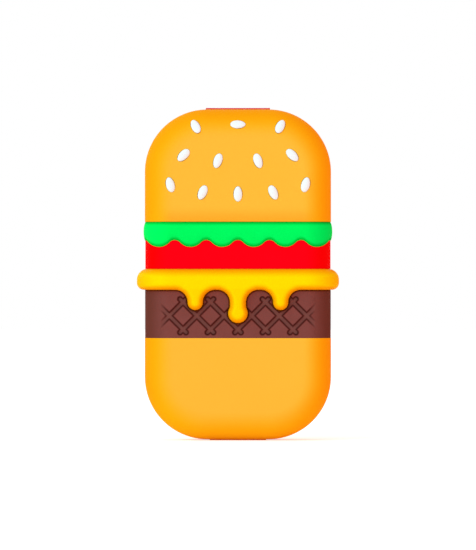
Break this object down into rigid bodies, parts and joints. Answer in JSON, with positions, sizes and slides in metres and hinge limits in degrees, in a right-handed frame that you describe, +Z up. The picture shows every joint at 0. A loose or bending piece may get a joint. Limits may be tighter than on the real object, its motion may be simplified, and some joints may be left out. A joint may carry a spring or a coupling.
{
  "type": "novelty flip telephone",
  "caption": "Burger-shaped flip telephone: a layered bun lid with seeds and cheese drips hinges up from a base with a keypad, earpiece, hook plunger and line jack.",
  "frame": {"origin": "middle of the footprint on the surface the phone stands on", "axes": "+Z up, -Y out of the lid's front, +X to the right seen from the front"},
  "size_m": [0.0858, 0.0508, 0.1415],
  "materials": {
    "bun": "soft-touch orange",
    "lettuce": "soft-touch bright green",
    "tomato": "soft-touch red",
    "cheese": "soft-touch yellow",
    "patty": "matt brown",
    "seed": "white",
    "tray": "raw moulded",
    "panel": "fine texture, cream",
    "steel": "plain",
    "foam": "foam",
    "speaker": "black",
    "knuckle": "red",
    "rubber": "black",
    "foot": "orange",
    "mat": "silicone",
    "board": "green lacquer",
    "component": "black",
    "plunger": "dark grey",
    "capsule": "plain",
    "brass": "plain",
    "key": "white",
    "function_key": "red"
  },
  "bodies": {
    "base": {"rear_top_bun": "bun", "rear_lettuce": "lettuce", "rear_tomato": "tomato", "rear_cheese": "cheese", "rear_patty": "patty", "rear_bottom_bun": "bun", "base_chassis": "tray", "hinge_pins": "steel", "base_screws": "steel", "keypad_panel": "panel", "key_mat": "mat", "main_board": "board", "board_parts": "component", "hook_switch": "component", "microphone_boot": "rubber", "microphone": "capsule", "ringer": "brass", "line_jack": "component", "jack_contacts": "brass", "tone_switch": "component", "ringer_switch": "component", "base_foot_pad": "foot"},
    "lid": {"lid_top_bun": "bun", "lid_lettuce": "lettuce", "lid_tomato": "tomato", "lid_cheese": "cheese", "lid_patty": "patty", "lid_bottom_bun": "bun", "sesame_seeds": "seed", "lid_carrier": "tray", "lid_inner_panel": "panel", "lid_screws": "steel", "earpiece_gasket": "foam", "earpiece_speaker": "speaker", "hinge_knuckle": "knuckle", "hinge_screws": "steel", "lid_bumpers": "rubber", "lid_foot_pad": "foot"},
    "hook_plunger": {"hook_plunger": "plunger"},
    "tone_knob": {"tone_knob": "plunger"},
    "ringer_knob": {"ringer_knob": "plunger"},
    "key_1": {"key_1": "key"},
    "key_2": {"key_2": "key"},
    "key_3": {"key_3": "key"},
    "key_4": {"key_4": "key"},
    "key_5": {"key_5": "key"},
    "key_6": {"key_6": "key"},
    "key_7": {"key_7": "key"},
    "key_8": {"key_8": "key"},
    "key_9": {"key_9": "key"},
    "key_star": {"key_star": "key"},
    "key_0": {"key_0": "key"},
    "key_hash": {"key_hash": "key"},
    "key_flash": {"key_flash": "function_key"},
    "key_redial": {"key_redial": "function_key"},
    "key_mute": {"key_mute": "function_key"}
  },
  "joints": [
    {"name": "lid_hinge", "type": "hinge", "parent": "base", "child": "lid", "pos_m": [0, 0.0086, 0.127], "axis": [-1, 0, 0], "range_deg": [0, 150]},
    {"name": "hook_slide", "type": "slide", "parent": "base", "child": "hook_plunger", "axis": [0, -1, 0], "range_m": [0, 0.002]},
    {"name": "tone_slide", "type": "slide", "parent": "base", "child": "tone_knob", "axis": [1, 0, 0], "range_m": [0, 0.004]},
    {"name": "ringer_slide", "type": "slide", "parent": "base", "child": "ringer_knob", "axis": [0, 0, -1], "range_m": [0, 0.004]},
    {"name": "key_1_press", "type": "slide", "parent": "base", "child": "key_1", "axis": [0, 1, 0], "range_m": [0, 0.0012], "stiffness_N_per_m": 600, "springref_m": -0.0012, "deforming": ["key_mat"]},
    {"name": "key_2_press", "type": "slide", "parent": "base", "child": "key_2", "axis": [0, 1, 0], "range_m": [0, 0.0012], "stiffness_N_per_m": 600, "springref_m": -0.0012, "deforming": ["key_mat"]},
    {"name": "key_3_press", "type": "slide", "parent": "base", "child": "key_3", "axis": [0, 1, 0], "range_m": [0, 0.0012], "stiffness_N_per_m": 600, "springref_m": -0.0012, "deforming": ["key_mat"]},
    {"name": "key_4_press", "type": "slide", "parent": "base", "child": "key_4", "axis": [0, 1, 0], "range_m": [0, 0.0012], "stiffness_N_per_m": 600, "springref_m": -0.0012, "deforming": ["key_mat"]},
    {"name": "key_5_press", "type": "slide", "parent": "base", "child": "key_5", "axis": [0, 1, 0], "range_m": [0, 0.0012], "stiffness_N_per_m": 600, "springref_m": -0.0012, "deforming": ["key_mat"]},
    {"name": "key_6_press", "type": "slide", "parent": "base", "child": "key_6", "axis": [0, 1, 0], "range_m": [0, 0.0012], "stiffness_N_per_m": 600, "springref_m": -0.0012, "deforming": ["key_mat"]},
    {"name": "key_7_press", "type": "slide", "parent": "base", "child": "key_7", "axis": [0, 1, 0], "range_m": [0, 0.0012], "stiffness_N_per_m": 600, "springref_m": -0.0012, "deforming": ["key_mat"]},
    {"name": "key_8_press", "type": "slide", "parent": "base", "child": "key_8", "axis": [0, 1, 0], "range_m": [0, 0.0012], "stiffness_N_per_m": 600, "springref_m": -0.0012, "deforming": ["key_mat"]},
    {"name": "key_9_press", "type": "slide", "parent": "base", "child": "key_9", "axis": [0, 1, 0], "range_m": [0, 0.0012], "stiffness_N_per_m": 600, "springref_m": -0.0012, "deforming": ["key_mat"]},
    {"name": "key_star_press", "type": "slide", "parent": "base", "child": "key_star", "axis": [0, 1, 0], "range_m": [0, 0.0012], "stiffness_N_per_m": 600, "springref_m": -0.0012, "deforming": ["key_mat"]},
    {"name": "key_0_press", "type": "slide", "parent": "base", "child": "key_0", "axis": [0, 1, 0], "range_m": [0, 0.0012], "stiffness_N_per_m": 600, "springref_m": -0.0012, "deforming": ["key_mat"]},
    {"name": "key_hash_press", "type": "slide", "parent": "base", "child": "key_hash", "axis": [0, 1, 0], "range_m": [0, 0.0012], "stiffness_N_per_m": 600, "springref_m": -0.0012, "deforming": ["key_mat"]},
    {"name": "key_flash_press", "type": "slide", "parent": "base", "child": "key_flash", "axis": [0, 1, 0], "range_m": [0, 0.0012], "stiffness_N_per_m": 600, "springref_m": -0.0012, "deforming": ["key_mat"]},
    {"name": "key_redial_press", "type": "slide", "parent": "base", "child": "key_redial", "axis": [0, 1, 0], "range_m": [0, 0.0012], "stiffness_N_per_m": 600, "springref_m": -0.0012, "deforming": ["key_mat"]},
    {"name": "key_mute_press", "type": "slide", "parent": "base", "child": "key_mute", "axis": [0, 1, 0], "range_m": [0, 0.0012], "stiffness_N_per_m": 600, "springref_m": -0.0012, "deforming": ["key_mat"]}
  ],
  "couplings": [
    {"joint": "hook_slide", "follows": "lid_hinge", "m_per_rad": 0.000763}
  ]
}
